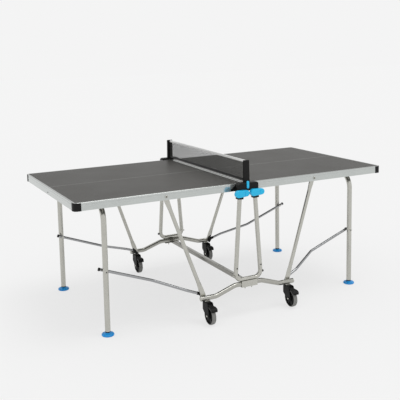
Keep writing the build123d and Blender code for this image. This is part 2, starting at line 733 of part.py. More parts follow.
# Castors: swivel forks with trailing wheels and brake pedals
fork_gap = wheel_width / 2 + 2.0
arm_wall = 4.0
wheel_clear = 3.5
boss_radius = 17.0
crown_round = 10.0
crown_front = 32.0
crown_back = 9.0
crown_drop = 32.0
pedal_y = 34.0
pedal_z = wheel_diameter + 6.0
pedal_front = crown_front + 28.0
for side, sx in sides:
    for row, sy in rows:
        cx = sx * castor_x
        cy = mid_y + sy * frame_y
        wy = cy - castor_trail
        with BuildPart() as fork:
            # Rounded cheeks from the crown down to the axle, slotted for the wheel and the pedal
            with BuildSketch(Plane.YZ.offset(cx)):
                with Locations((cy - crown_front, fork_top_z - crown_round)):
                    Circle(crown_round)
                with Locations((cy + crown_back, fork_top_z - crown_round)):
                    Circle(crown_round)
                with Locations((cy + crown_back, fork_top_z - crown_round - crown_drop)):
                    Circle(crown_round)
                with Locations((wy, axle_z)):
                    Circle(boss_radius)
                make_hull()
            extrude(amount=fork_gap + arm_wall, both=True)
            fillet(fork.faces().filter_by(Axis.X).edges(), radius=arm_wall / 2)
            with BuildSketch(Plane.YZ.offset(cx)):
                with Locations((wy, axle_z)):
                    Circle(wheel_diameter / 2 + wheel_clear)
                with Locations((wy, axle_z + wheel_diameter)):
                    Rectangle(2 * (castor_trail - pedal_y + 9), 2 * wheel_diameter)
            extrude(amount=fork_gap, both=True, mode=Mode.SUBTRACT)
            with BuildSketch(Plane.XY.offset(fork_top_z)):
                with Locations((cx, cy)):
                    Circle(crown_round + 10)
            extrude(amount=-6)
            with BuildSketch(Plane.XY.offset(fork_top_z)):
                with Locations((cx, cy)):
                    Circle(stem_radius)
            extrude(amount=bow_diameter / 2 + 2)
            with BuildSketch(Plane.YZ.offset(cx)):
                with Locations((wy, axle_z)):
                    Circle(axle_radius)
            extrude(amount=fork_gap + 1, both=True)
            for face in (-1, 1):
                with BuildSketch(Plane.YZ.offset(cx + face * (fork_gap + arm_wall))):
                    with Locations((wy, axle_z)):
                        Circle(7)
                extrude(amount=face * 3)
            with BuildSketch(Plane.YZ.offset(cx)):
                with Locations((cy - pedal_y, pedal_z)):
                    Circle(3)
            extrude(amount=fork_gap + 1, both=True)
        fork.part.label = f"{side}_{row}_castor_fork"
        export_step(fork.part, f"parts/{side}_{row}_castor_fork.step")

        # Wheel: a tyre on a dished hub
        with BuildPart() as wheel:
            with BuildSketch(Plane(origin=(cx, wy, axle_z), x_dir=(1, 0, 0), z_dir=(0, -1, 0))):
                with BuildLine():
                    Polyline(
                        (-wheel_width / 2, axle_radius + running),
                        (-wheel_width / 2, 13),
                        (-wheel_width / 2 + 5, 16),
                        (-wheel_width / 2 + 5, wheel_diameter / 2 - 17),
                        (-wheel_width / 2, wheel_diameter / 2 - 14),
                        (-wheel_width / 2, wheel_diameter / 2 - 5),
                        (-wheel_width / 2 + 5, wheel_diameter / 2),
                        (wheel_width / 2 - 5, wheel_diameter / 2),
                        (wheel_width / 2, wheel_diameter / 2 - 5),
                        (wheel_width / 2, wheel_diameter / 2 - 14),
                        (wheel_width / 2 - 5, wheel_diameter / 2 - 17),
                        (wheel_width / 2 - 5, 16),
                        (wheel_width / 2, 13),
                        (wheel_width / 2, axle_radius + running),
                        close=True,
                    )
                make_face()
            revolve(axis=Axis((cx, wy, axle_z), (1, 0, 0)))
        wheel.part.label = f"{side}_{row}_wheel"
        export_step(wheel.part, f"parts/{side}_{row}_wheel.step")

        # Brake pedal: a bent tab over the trailing side of the wheel
        with BuildPart() as pedal:
            with BuildSketch(Plane.YZ.offset(cx)):
                with BuildLine():
                    Polyline(
                        (cy - pedal_y + 5, pedal_z - 3.5),
                        (cy - pedal_y + 5, pedal_z + 6),
                        (cy - pedal_y - 8, pedal_z + 6),
                        (cy - pedal_reach + 8, pedal_z - 1),
                        (cy - pedal_reach, pedal_z - 8),
                        (cy - pedal_reach, pedal_z - 20),
                        (cy - pedal_reach + 3, pedal_z - 23),
                        (cy - pedal_reach + 11, pedal_z - 14.5),
                        (cy - pedal_reach + 24, pedal_z - 5.5),
                        (cy - pedal_y - 20, pedal_z - 1),
                        (cy - pedal_y - 8, pedal_z - 3.5),
                        close=True,
                    )
                make_face()
                with Locations((cy - pedal_y, pedal_z)):
                    Circle(3 + running, mode=Mode.SUBTRACT)
            extrude(amount=fork_gap - 0.6, both=True)
            with BuildSketch(Plane.YZ.offset(cx)):
                with BuildLine():
                    Polyline(
                        (cy - pedal_front, pedal_z + 1.5),
                        (cy - pedal_reach + 8, pedal_z - 1),
                        (cy - pedal_reach, pedal_z - 8),
                        (cy - pedal_reach, pedal_z - 20),
                        (cy - pedal_reach + 3, pedal_z - 23),
                        (cy - pedal_reach + 11, pedal_z - 14.5),
                        (cy - pedal_front, pedal_z - 2.5),
                        close=True,
                    )
                make_face()
            extrude(amount=fork_gap + arm_wall, both=True)
        pedal.part.label = f"{side}_{row}_brake_pedal"
        export_step(pedal.part, f"parts/{side}_{row}_brake_pedal.step")
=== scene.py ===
import json
import math

import bmesh
import bpy
from mathutils import Euler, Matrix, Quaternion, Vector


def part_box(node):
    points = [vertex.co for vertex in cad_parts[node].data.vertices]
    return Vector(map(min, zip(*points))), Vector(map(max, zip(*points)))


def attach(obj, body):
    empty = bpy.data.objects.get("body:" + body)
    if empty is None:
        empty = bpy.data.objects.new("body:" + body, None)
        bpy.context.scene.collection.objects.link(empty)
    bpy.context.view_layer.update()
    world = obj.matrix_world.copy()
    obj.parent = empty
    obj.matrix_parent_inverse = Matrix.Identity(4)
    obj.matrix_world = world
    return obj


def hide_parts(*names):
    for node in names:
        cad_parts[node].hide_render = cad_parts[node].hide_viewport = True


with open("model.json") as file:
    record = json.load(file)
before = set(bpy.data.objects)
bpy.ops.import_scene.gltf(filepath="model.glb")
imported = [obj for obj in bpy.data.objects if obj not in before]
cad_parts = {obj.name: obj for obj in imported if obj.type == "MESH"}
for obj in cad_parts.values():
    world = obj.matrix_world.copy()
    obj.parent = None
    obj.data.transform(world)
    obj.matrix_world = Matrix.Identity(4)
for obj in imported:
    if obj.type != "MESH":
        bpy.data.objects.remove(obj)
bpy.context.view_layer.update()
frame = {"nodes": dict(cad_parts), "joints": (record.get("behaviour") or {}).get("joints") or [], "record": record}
cadNodes = frame["nodes"]
jointSpots = {joint["name"]: joint.get("pos_m") for joint in frame["joints"]}
sides = (("left", -1), ("right", 1))
rows = (("near", -1), ("far", 1))
print("frame loaded:", len(cadNodes), "nodes")

# Where a mix node keeps its factor, its two colours and the colour it puts out
mixInputs = (0, 6, 7)
mixOutput = 2


# Small helpers for node trees
def newMaterial(name):
    material = bpy.data.materials.new(name)
    material.use_nodes = True
    return material, material.node_tree.nodes["Principled BSDF"]


def addNode(tree, kind, **settings):
    node = tree.nodes.new(kind)
    for key, value in settings.items():
        setattr(node, key, value)
    return node


# A number or a colour is set on the socket, and another node's output is linked to it
def feed(tree, socket, value):
    if isinstance(value, (int, float)):
        socket.default_value = value
    elif isinstance(value, tuple):
        socket.default_value = (*value, 1.0)
    else:
        tree.links.new(value, socket)


def newGroup(name, inputs, outputs):
    group = bpy.data.node_groups.new(name, "ShaderNodeTree")
    for label, kind, value in inputs:
        socket = group.interface.new_socket(label, in_out="INPUT", socket_type=kind)
        if value is not None:
            socket.default_value = value
    for label in outputs:
        group.interface.new_socket(label, in_out="OUTPUT", socket_type="NodeSocketFloat")
    return group, addNode(group, "NodeGroupInput"), addNode(group, "NodeGroupOutput")


def objectPlace(tree):
    return addNode(tree, "ShaderNodeTexCoord").outputs["Object"]


def placeGroup(tree, group, **values):
    node = addNode(tree, "ShaderNodeGroup", node_tree=group)
    tree.links.new(objectPlace(tree), node.inputs["Vector"])
    for label, value in values.items():
        node.inputs[label].default_value = value
    return node


def splitAxes(tree, vector):
    axes = addNode(tree, "ShaderNodeSeparateXYZ")
    tree.links.new(vector, axes.inputs["Vector"])
    return axes.outputs


def addNoise(tree, vector, scale, detail):
    noise = addNode(tree, "ShaderNodeTexNoise")
    settings = {"Vector": vector, "Scale": scale, "Detail": detail, "Roughness": 0.55}
    for label, value in settings.items():
        feed(tree, noise.inputs[label], value)
    return noise.outputs["Fac"]


def spread(tree, value, low, high, fromLow=0.0, fromHigh=1.0):
    node = addNode(tree, "ShaderNodeMapRange")
    settings = {"From Min": fromLow, "From Max": fromHigh, "To Min": low, "To Max": high}
    for label, limit in settings.items():
        feed(tree, node.inputs[label], limit)
    tree.links.new(value, node.inputs["Value"])
    return node.outputs["Result"]


def reckon(tree, operation, *values):
    node = addNode(tree, "ShaderNodeMath", operation=operation)
    for socket, value in zip(node.inputs, values):
        feed(tree, socket, value)
    return node.outputs["Value"]


def mixColour(tree, factor, first, second):
    node = addNode(tree, "ShaderNodeMix", data_type="RGBA")
    for place, value in zip(mixInputs, (factor, first, second)):
        feed(tree, node.inputs[place], value)
    return node.outputs[mixOutput]


def bumpNormal(tree, shader, height, strength, distance):
    bump = addNode(tree, "ShaderNodeBump")
    bump.inputs["Strength"].default_value = strength
    bump.inputs["Distance"].default_value = distance
    tree.links.new(height, bump.inputs["Height"])
    tree.links.new(bump.outputs["Normal"], shader.inputs["Normal"])


# Small helpers for working on one piece at a time
def deselectAll():
    if bpy.context.object and bpy.context.object.mode != "OBJECT":
        bpy.ops.object.mode_set(mode="OBJECT")
    bpy.ops.object.select_all(action="DESELECT")


def choose(piece):
    deselectAll()
    piece.select_set(True)
    bpy.context.view_layer.objects.active = piece


def applyModifier(piece, kind, **settings):
    choose(piece)
    modifier = piece.modifiers.new(kind.lower(), kind)
    for key, value in settings.items():
        setattr(modifier, key, value)
    bpy.ops.object.modifier_apply(modifier=modifier.name)


def settle(piece):
    choose(piece)
    bpy.ops.object.transform_apply(location=True, rotation=True, scale=True)


def smoothByAngle(piece, degrees):
    choose(piece)
    bpy.ops.object.shade_smooth_by_angle(angle=math.radians(degrees))


# Faces or edges of one piece, picked in edit mode by a test of their own
def pick(piece, kind, test):
    choose(piece)
    bpy.ops.object.mode_set(mode="EDIT")
    bpy.ops.mesh.select_mode(type=kind)
    bpy.ops.mesh.select_all(action="DESELECT")
    shape = bmesh.from_edit_mesh(piece.data)
    for item in shape.faces if kind == "FACE" else shape.edges:
        if test(item):
            item.select_set(True)
    bmesh.update_edit_mesh(piece.data)


def pushOut(amount):
    bpy.ops.mesh.extrude_region_shrink_fatten(TRANSFORM_OT_shrink_fatten={"value": amount})


def leaveEdit():
    bpy.ops.object.mode_set(mode="OBJECT")


def addCylinder(name, facets, radius, depth, **placing):
    deselectAll()
    bpy.ops.mesh.primitive_cylinder_add(vertices=facets, radius=radius, depth=depth, **placing)
    piece = bpy.context.object
    piece.name = name
    settle(piece)
    return piece


def copyPiece(piece, name, place, turn=(0, 0, 0)):
    twin = piece.copy()
    twin.data = piece.data.copy()
    twin.name = name
    bpy.context.scene.collection.objects.link(twin)
    twin.location = place
    twin.rotation_euler = [math.radians(degrees) for degrees in turn]
    settle(twin)
    return twin


def finishPiece(piece, body, slot, material, *stoodFor):
    piece.data.materials.clear()
    piece.data.materials.append(material)
    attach(piece, body)
    if stoodFor:
        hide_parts(*stoodFor)
    return piece


def middleOf(node):
    low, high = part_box(node)
    return (low + high) / 2


# Zinc skin: small crystal flakes under a soft haze, with a fine grain
zincSkin = {
    "flakes": 150.0,
    "flakeShare": 0.35,
    "clouds": 9.0,
    "cloudDetail": 4.0,
    "cloudShare": 0.65,
    "smooth": 0.10,
    "dull": 0.22,
    "grain": 900.0,
    "grainDetail": 2.0,
    "grainStrength": 0.12,
    "grainHeight": 0.0004,
}


def makeZincGroup():
    group, start, end = newGroup(
        "zincSkin",
        (
            ("Vector", "NodeSocketVector", None),
            ("Spangle", "NodeSocketFloat", zincSkin["flakes"]),
            ("Cloud", "NodeSocketFloat", zincSkin["clouds"]),
            ("Smooth", "NodeSocketFloat", zincSkin["smooth"]),
            ("Dull", "NodeSocketFloat", zincSkin["dull"]),
        ),
        ("Tint", "Roughness", "Height"),
    )
    vector = start.outputs["Vector"]
    spangle = addNode(group, "ShaderNodeTexVoronoi", feature="F1")
    group.links.new(vector, spangle.inputs["Vector"])
    group.links.new(start.outputs["Spangle"], spangle.inputs["Scale"])
    cloud = addNoise(group, vector, start.outputs["Cloud"], zincSkin["cloudDetail"])
    flake = reckon(group, "MULTIPLY", spangle.outputs["Color"], zincSkin["flakeShare"])
    haze = reckon(group, "MULTIPLY", cloud, zincSkin["cloudShare"])
    tint = reckon(group, "ADD", flake, haze)
    rough = spread(group, tint, start.outputs["Smooth"], start.outputs["Dull"])
    fine = addNoise(group, vector, zincSkin["grain"], zincSkin["grainDetail"])
    group.links.new(tint, end.inputs["Tint"])
    group.links.new(rough, end.inputs["Roughness"])
    group.links.new(fine, end.inputs["Height"])
    return group


# Moulded grain: fine pitting with slightly rubbed patches
mouldSkin = {
    "grain": 1400.0,
    "grainDetail": 2.0,
    "grainHeight": 0.0003,
    "patches": 24.0,
    "patchDetail": 4.0,
    "rubFrom": 0.35,
    "rubFull": 0.70,
    "rubDulls": 0.12,
}


def makeMouldGroup():
    group, start, end = newGroup(
        "mouldedGrain",
        (("Vector", "NodeSocketVector", None), ("Grain", "NodeSocketFloat", mouldSkin["grain"])),
        ("Shade", "Rub", "Height"),
    )
    vector = start.outputs["Vector"]
    grain = addNoise(group, vector, start.outputs["Grain"], mouldSkin["grainDetail"])
    patches = addNoise(group, vector, mouldSkin["patches"], mouldSkin["patchDetail"])
    rub = spread(group, patches, 0.0, 1.0, mouldSkin["rubFrom"], mouldSkin["rubFull"])
    group.links.new(patches, end.inputs["Shade"])
    group.links.new(rub, end.inputs["Rub"])
    group.links.new(grain, end.inputs["Height"])
    return group


zincGroup = makeZincGroup()
mouldGroup = makeMouldGroup()
topSkin = 0.001  # how deep below a node's highest point its top face is taken to reach


def onTopOf(tree, axes, node):
    return reckon(tree, "GREATER_THAN", axes["Z"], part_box(node)[1].z - topSkin)


# Coated steel of the tubes and of the rim, whose top face around the board takes a darker colour as painted shade
# over its highlight
def makeZinc(name, dark, light, metallic, lipPaintedShade=None, **skinValues):
    material, shader = newMaterial(name)
    tree = material.node_tree
    skin = placeGroup(tree, zincGroup, **skinValues)
    colour = mixColour(tree, skin.outputs["Tint"], dark, light)
    if lipPaintedShade:
        axes = splitAxes(tree, objectPlace(tree))
        # Painted shade: the top face of the rim is given the darker colour
        colour = mixColour(tree, onTopOf(tree, axes, "left_rim"), colour, lipPaintedShade)
    tree.links.new(colour, shader.inputs["Base Color"])
    tree.links.new(skin.outputs["Roughness"], shader.inputs["Roughness"])
    shader.inputs["Metallic"].default_value = metallic
    grain = (zincSkin["grainStrength"], zincSkin["grainHeight"])
    bumpNormal(tree, shader, skin.outputs["Height"], *grain)
    return material


# Matt or glossy mouldings, and the dark coat of small bolts
def makeMoulding(name, dark, light, roughness, grain, depth, coat=0.0, gloss=0.5):
    material, shader = newMaterial(name)
    tree = material.node_tree
    skin = placeGroup(tree, mouldGroup, Grain=grain)
    colour = mixColour(tree, skin.outputs["Shade"], dark, light)
    rough = spread(tree, skin.outputs["Rub"], roughness, roughness + mouldSkin["rubDulls"])
    tree.links.new(colour, shader.inputs["Base Color"])
    tree.links.new(rough, shader.inputs["Roughness"])
    shader.inputs["Coat Weight"].default_value = coat
    shader.inputs["Specular IOR Level"].default_value = gloss
    bumpNormal(tree, shader, skin.outputs["Height"], depth, mouldSkin["grainHeight"])
    return material


# Laminate of the top, with the thin centre line along it
boardFinish = {
    "dark": (0.058, 0.0565, 0.052),
    "light": (0.074, 0.072, 0.066),
    "line": (0.30, 0.30, 0.29),
    "lineWidth": 0.0035,
    "clouds": 5.0,
    "cloudDetail": 4.0,
    "smooth": 0.39,
    "dull": 0.52,
    "gloss": 0.12,
    "specks": 700.0,
    "speckDetail": 2.0,
    "speckStrength": 0.2,
    "speckHeight": 0.0004,
}


def makeBoard():
    finish = boardFinish
    material, shader = newMaterial("greyLaminate")
    tree = material.node_tree
    vector = objectPlace(tree)
    axes = splitAxes(tree, vector)
    middle = middleOf("left_top_board").y
    aside = reckon(tree, "ABSOLUTE", reckon(tree, "SUBTRACT", axes["Y"], middle))
    nearLine = reckon(tree, "LESS_THAN", aside, finish["lineWidth"] / 2)
    onLine = reckon(tree, "MULTIPLY", nearLine, onTopOf(tree, axes, "left_top_board"))
    cloud = addNoise(tree, vector, finish["clouds"], finish["cloudDetail"])
    speck = addNoise(tree, vector, finish["specks"], finish["speckDetail"])
    base = mixColour(tree, cloud, finish["dark"], finish["light"])
    colour = mixColour(tree, onLine, base, finish["line"])
    rough = spread(tree, cloud, finish["smooth"], finish["dull"])
    tree.links.new(colour, shader.inputs["Base Color"])
    tree.links.new(rough, shader.inputs["Roughness"])
    shader.inputs["Specular IOR Level"].default_value = finish["gloss"]
    bumpNormal(tree, shader, speck, finish["speckStrength"], finish["speckHeight"])
    return material


# Woven tape of the net, with its weave across the band
tapeFinish = {
    "warp": 260.0,
    "weft": 330.0,
    "roughness": 0.85,
    "sheen": 0.2,
    "weaveStrength": 0.4,
    "weaveHeight": 0.0004,
}


def makeTape(name, dark, light):
    material, shader = newMaterial(name)
    tree = material.node_tree
    vector = objectPlace(tree)
    warp = addNode(tree, "ShaderNodeTexWave", bands_direction="Y")
    weft = addNode(tree, "ShaderNodeTexWave", bands_direction="Z")
    for wave, scale in ((warp, tapeFinish["warp"]), (weft, tapeFinish["weft"])):
        wave.inputs["Scale"].default_value = scale
        tree.links.new(vector, wave.inputs["Vector"])
    weave = reckon(tree, "MULTIPLY", warp.outputs["Fac"], weft.outputs["Fac"])
    tree.links.new(mixColour(tree, weave, dark, light), shader.inputs["Base Color"])
    shader.inputs["Roughness"].default_value = tapeFinish["roughness"]
    shader.inputs["Sheen Weight"].default_value = tapeFinish["sheen"]
    bumpNormal(tree, shader, weave, tapeFinish["weaveStrength"], tapeFinish["weaveHeight"])
    return material


zincTube = makeZinc(
    "zincTube",
    dark=(0.45, 0.445, 0.405),
    light=(0.58, 0.575, 0.53),
    metallic=0.85,
)
# Painted shade: the bows take the tube zinc at a darker level, for the dark board above reflected along them
zincBowPaintedShade = makeZinc(
    "zincBowPaintedShade",
    dark=(0.369, 0.365, 0.332),
    light=(0.476, 0.471, 0.435),
    metallic=0.85,
)
# Painted shade: the cross beam takes the tube zinc at a darker level, for the shade under the table
beamPaintedShade = makeZinc(
    "beamPaintedShade",
    dark=(0.255, 0.25, 0.228),
    light=(0.33, 0.325, 0.30),
    metallic=0.85,
)
# The rods are smoother, bluer chrome, and their base is also painted darker, standing in for dark reflections
# along them
chromeRodPaintedShade = makeZinc(
    "chromeRodPaintedShade",
    dark=(0.31, 0.315, 0.322),
    light=(0.41, 0.415, 0.422),
    metallic=0.95,
    Smooth=0.06,
    Dull=0.12,
)
zincRim = makeZinc(
    "zincRim",
    dark=(0.49, 0.515, 0.50),
    light=(0.61, 0.635, 0.62),
    metallic=0.75,
    # painted shade on the rim's top face
    lipPaintedShade=(0.30, 0.31, 0.30),
    Spangle=190.0,
)
blackMoulding = makeMoulding(
    "blackMoulding",
    dark=(0.006, 0.006, 0.006),
    light=(0.013, 0.013, 0.013),
    roughness=0.45,
    grain=1400.0,
    depth=0.25,
    gloss=0.18,
)
blackBolt = makeMoulding(
    "blackBolt",
    dark=(0.012, 0.012, 0.012),
    light=(0.03, 0.03, 0.03),
    roughness=0.3,
    grain=900.0,
    depth=0.1,
)
handleBlue = makeMoulding(
    "handleBlue",
    dark=(0.0, 0.46, 0.80),
    light=(0.001, 0.54, 0.88),
    roughness=0.34,
    grain=1100.0,
    depth=0.12,
    coat=0.15,
)
footBlue = makeMoulding(
    "footBlue",
    dark=(0.002, 0.26, 0.68),
    light=(0.004, 0.32, 0.77),
    roughness=0.40,
    grain=1100.0,
    depth=0.15,
)
tyreRubber = makeMoulding(
    "tyreRubber",
    dark=(0.19, 0.19, 0.18),
    light=(0.25, 0.25, 0.24),
    roughness=0.6,
    grain=900.0,
    depth=0.3,
)
netCord = makeMoulding(
    "netCord",
    dark=(0.034, 0.034, 0.032),
    light=(0.058, 0.058, 0.055),
    roughness=0.8,
    grain=2200.0,
    depth=0.5,
    gloss=0.2,
)
greyLaminate = makeBoard()
whiteTape = makeTape("whiteTape", dark=(0.90, 0.90, 0.89), light=(0.97, 0.97, 0.96))
blackTape = makeTape("blackTape", dark=(0.008, 0.008, 0.008), light=(0.02, 0.02, 0.02))
slotFinish = {
    "galvanised_steel": zincTube,
    "rim_steel": zincRim,
    "top_grey": greyLaminate,
    "black_plastic": blackMoulding,
    "handle_blue": handleBlue,
    "foot_blue": footBlue,
    "dark_bolt": blackBolt,
    "net_cord": netCord,
    "net_tape": whiteTape,
    "wheel_tyre": tyreRubber,
}
nodeFinish = {  # nodes whose zinc is painted darker as painted shade, the rods also smoother chrome
    "near_bow": zincBowPaintedShade,
    "far_bow": zincBowPaintedShade,
    "left_rods": chromeRodPaintedShade,
    "right_rods": chromeRodPaintedShade,
    "cross_beam": beamPaintedShade,
}
for part in frame["record"]["subparts"]:
    node = cadNodes[part["node"]]
    finish = nodeFinish.get(part["node"], slotFinish[part["material_slot"]])
    node.data.materials.clear()
    node.data.materials.append(finish)
print("finishes made:", len(bpy.data.materials))


# Net: a fine stretched mesh between two sewn tapes
netShape = {
    "cell": 0.0092,
    "cord": 0.0026,
    "tapeEdge": 0.0012,
    "tapeEdgeSteps": 3,
    "tapeSmooth": 50,
}


def makeNet():
    low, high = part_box("net_mesh")
    width = high.y - low.y
    height = high.z - low.z
    columns = round(width / netShape["cell"])
    lines = round(height / netShape["cell"])
    deselectAll()
    bpy.ops.mesh.primitive_grid_add(x_subdivisions=columns, y_subdivisions=lines, size=1.0)
    net = bpy.context.object
    net.name = "netMesh"
    net.scale = (width, height, 1.0)
    net.rotation_euler = (math.radians(90), 0, math.radians(90))
    net.location = (low + high) / 2
    settle(net)
    cord = netShape["cord"]
    applyModifier(net, "WIREFRAME", thickness=cord, use_even_offset=False, use_boundary=True)
    finishPiece(net, "undercarriage", "net_cord", netCord, "net_mesh")
    return net, (width, height)


def makeBand(name, node, material, slot):
    low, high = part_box(node)
    deselectAll()
    bpy.ops.mesh.primitive_cube_add(size=1.0)
    band = bpy.context.object
    band.name = name
    band.scale = high - low
    band.location = (low + high) / 2
    settle(band)
    applyModifier(band, "BEVEL", width=netShape["tapeEdge"], segments=netShape["tapeEdgeSteps"])
    smoothByAngle(band, netShape["tapeSmooth"])
    return finishPiece(band, "undercarriage", slot, material, node)


net, netFlat = makeNet()
topTape = makeBand("netTopTape", "net_top_tape", whiteTape, "net_tape")
lowTape = makeBand("netBottomTape", "net_bottom_tape", blackTape, "black_plastic")
print("net made:", len(net.data.polygons), "faces")


# Wheels: a grey tyre on a black spoked hub, modelled once and copied to the four castors
wheelShape = {
    "facets": 60,
    "tyreBore": 0.0455,
    "shoulder": 0.0045,
    "shoulderSteps": 5,
    "hubGap": 0.0001,
    "hubInset": 0.0015,
    "hubRim": 0.0035,
    "hubDish": 0.0040,
    "bossRadius": 0.0125,
    "bossRise": 0.0045,
    "bore": 0.0052,
    "spokes": 6,
    "pocketFrom": 0.22,  # share of the turn from one spoke to the next
    "pocketTo": 0.78,
    "pocketWall": 0.0012,
    "pocketDepth": 0.0030,
    "hubEdge": 0.0005,
    "hubEdgeSteps": 2,
    "hubEdgeAngle": 35,
    "smooth": 40,
}


def ringRadius(point):
    return math.hypot(point.y, point.z)


def addDrum(name, radius, width):
    onSide = (0, math.radians(90), 0)
    return addCylinder(name, wheelShape["facets"], radius, width, rotation=onSide)


def isSide(face):
    return abs(face.normal.x) > 0.9


def makeTyre(radius, width):
    shape = wheelShape
    tyre = addDrum("tyre", radius, width)
    pick(tyre, "FACE", isSide)
    bpy.ops.mesh.inset(thickness=radius - shape["tyreBore"])
    bpy.ops.mesh.bridge_edge_loops()

    def onShoulder(edge):
        first, second = (vertex.co for vertex in edge.verts)
        outside = min(ringRadius(first), ringRadius(second)) > radius * 0.98
        return outside and abs(first.x - second.x) < 1e-5

    pick(tyre, "EDGE", onShoulder)
    bpy.ops.mesh.bevel(offset=shape["shoulder"], segments=shape["shoulderSteps"], profile=0.5)
    leaveEdit()
    smoothByAngle(tyre, shape["smooth"])
    return tyre


def makeHub(width):
    shape = wheelShape
    outside = shape["tyreBore"] - shape["hubGap"]
    dishRadius = outside - shape["hubRim"]
    hub = addDrum("hub", outside, width - 2 * shape["hubInset"])
    pick(hub, "FACE", isSide)
    bpy.ops.mesh.inset(thickness=shape["hubRim"])
    pushOut(-shape["hubDish"])
    bpy.ops.mesh.inset(thickness=dishRadius - shape["bossRadius"])
    pushOut(shape["bossRise"])
    bpy.ops.mesh.inset(thickness=shape["bossRadius"] - shape["bore"])
    bpy.ops.mesh.bridge_edge_loops()
    # Pockets between the spokes
    sector = 2 * math.pi / shape["spokes"]

    def inPocket(face):
        middle = face.calc_center_median()
        turn = math.atan2(middle.z, middle.y) % sector / sector
        onDish = isSide(face) and shape["bossRadius"] < ringRadius(middle) < dishRadius
        return onDish and shape["pocketFrom"] < turn < shape["pocketTo"]

    pick(hub, "FACE", inPocket)
    bpy.ops.mesh.inset(thickness=shape["pocketWall"], use_even_offset=True)
    pushOut(-shape["pocketDepth"])
    leaveEdit()
    applyModifier(
        hub,
        "BEVEL",
        width=shape["hubEdge"],
        segments=shape["hubEdgeSteps"],
        limit_method="ANGLE",
        angle_limit=math.radians(shape["hubEdgeAngle"]),
    )
    smoothByAngle(hub, shape["smooth"])
    return hub


def placeWheels():
    low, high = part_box("left_near_wheel")
    tyre = makeTyre((high.z - low.z) / 2, high.x - low.x)
    hub = makeHub(high.x - low.x)
    for side, _ in sides:
        for row, _ in rows:
            spot = f"{side}_{row}"
            for piece, slot in ((tyre, "wheel_tyre"), (hub, "black_plastic")):
                twin = copyPiece(piece, f"{spot}_{piece.name}", middleOf(f"{spot}_wheel"))
                finishPiece(twin, f"{spot}_roller", slot, slotFinish[slot], f"{spot}_wheel")
    for piece in (tyre, hub):
        bpy.data.objects.remove(piece)


placeWheels()
print("wheels made")


# Fasteners: domed heads with a dark socket, and dark nuts, modelled along +Z and copied
boltShape = {
    "facets": 28,
    "smooth": 40,
    "headRadius": 0.0085,
    "headRise": 0.0040,
    "dome": 0.0020,
    "domeSteps": 4,
    "sink": 0.0020,
    "socket": 0.0042,
    "socketDepth": 0.0016,
    "plugShare": 0.97,  # of the socket's radius
    "plugRise": 0.0006,
    "plugRim": 0.25,
    "plugDish": 0.0004,
    "shankRadius": 0.0049,
    "shankEdge": 0.0003,
    "boltLength": 0.032,
    "nutRadius": 0.0080,
    "nutHeight": 0.0060,
    "nutEdge": 0.18,  # of its height
    "nutSmooth": 30,
    "axleRadius": 0.0055,
    "axleRise": 0.0026,
    "screwRadius": 0.0038,
    "screwRise": 0.0015,
    "screwHeight": 0.730,
    "stopRadius": 0.0068,
    "stopRise": 0.0078,
    "stopHeight": 0.237,
    "stopReach": 0.019,
    "stopSink": 0.0005,
    "catchRadius": 0.0044,
    "catchDepth": 0.0060,
    "catchHeight": 0.2790,
    "catchSink": 0.0014,
    "catchRim": 0.25,  # of its radius
    "catchBore": 0.8,  # of its depth
    "splay": 4.0,
    "tubeRadius": 0.0125,
}


def isTop(face):
    return face.normal.z > 0.99


def addStud(name, facets, radius, height):
    return addCylinder(name, facets, radius, height, location=(0, 0, height / 2))


def domeTop(stud, rise, dome):
    pick(stud, "EDGE", lambda edge: all(vertex.co.z > rise * 0.9 for vertex in edge.verts))
    bpy.ops.mesh.bevel(offset=dome, segments=boltShape["domeSteps"], profile=0.5)
    leaveEdit()


# Insets the top of a stud and pushes its middle down
def sinkTop(stud, rim, depth):
    pick(stud, "FACE", isTop)
    bpy.ops.mesh.inset(thickness=rim)
    pushOut(-depth)
    leaveEdit()


def makeHead(name, radius, rise, dome, socket=0.0):
    head = addStud(name, boltShape["facets"], radius, rise)
    domeTop(head, rise, dome)
    if socket:
        sinkTop(head, radius - dome - socket, boltShape["socketDepth"])
    smoothByAngle(head, boltShape["smooth"])
    return head


# The dark bottom of a socket, six-sided with a sunk middle
def makeSocket(name, rise):
    shape = boltShape
    height = rise - shape["socketDepth"] + shape["plugRise"]
    plug = addStud(name, 6, shape["socket"] * shape["plugShare"], height)
    sinkTop(plug, shape["socket"] * shape["plugRim"], shape["plugDish"])
    return plug


def makeNut(name, radius, height):
    nut = addStud(name, 6, radius, height)
    domeTop(nut, height, height * boltShape["nutEdge"])
    smoothByAngle(nut, boltShape["nutSmooth"])
    return nut


# A dark bush that lines a catch hole
def makeBush(name):
    radius, depth = boltShape["catchRadius"], boltShape["catchDepth"]
    bush = addStud(name, boltShape["facets"], radius, depth)
    sinkTop(bush, radius * boltShape["catchRim"], depth * boltShape["catchBore"])
    smoothByAngle(bush, boltShape["smooth"])
    return bush


# The nut of a strut bolt with its shank, which ends at the rim
def makeTail(name):
    shape = boltShape
    nut = makeNut(name, shape["nutRadius"], shape["nutHeight"])
    shank = makeHead("shank", shape["shankRadius"], shape["boltLength"], shape["shankEdge"])
    choose(nut)
    shank.select_set(True)
    bpy.ops.object.join()
    return nut


def alongY(sy):
    return (-90 * sy, 0, 0)


def alongX(sx):
    return (0, 90 * sx, 0)


def fasten(master, spot, place, turn, body, slot, *stoodFor):
    twin = copyPiece(master, f"{spot}_{master.name}", place, turn)
    finishPiece(twin, body, slot, slotFinish[slot], *stoodFor)


